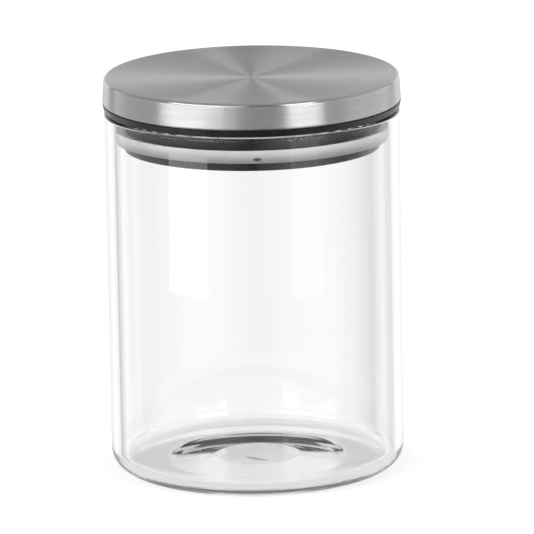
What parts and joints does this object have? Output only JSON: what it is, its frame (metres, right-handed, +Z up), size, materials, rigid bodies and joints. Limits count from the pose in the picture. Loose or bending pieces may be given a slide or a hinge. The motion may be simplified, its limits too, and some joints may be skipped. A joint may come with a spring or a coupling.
{
  "type": "lidded glass canister",
  "caption": "Straight glass storage jar closed by a push-in lid with a dished steel cap, a black core and a silicone seal ring.",
  "frame": {"origin": "on the table, under the middle of the jar", "axes": "+Z up along the axis of the jar and its lid; X and Y lie in the table and are alike, because the part is round"},
  "size_m": [0.0998, 0.0998, 0.134],
  "materials": {
    "clear_glass": "clear, fire polished",
    "brushed_cap": "spun brushing on top, brushed round the skirt",
    "black_moulding": "satin black",
    "adhesive_pad": "soft foam adhesive",
    "silicone": "translucent, satin"
  },
  "bodies": {
    "jar": {"glass_jar": "clear_glass"},
    "seal": {"seal_ring": "silicone"},
    "lid": {"steel_cap": "brushed_cap", "lid_core": "black_moulding", "plug_base": "black_moulding", "bond_pad": "adhesive_pad"}
  },
  "joints": [
    {"name": "lid_lift", "type": "slide", "parent": "jar", "child": "seal", "axis": [0, 0, 1], "range_m": [0, 0.12]},
    {"name": "lid_turn", "type": "hinge", "parent": "seal", "child": "lid", "pos_m": [0, 0, 0.115], "axis": [0, 0, 1], "continuous": true}
  ]
}
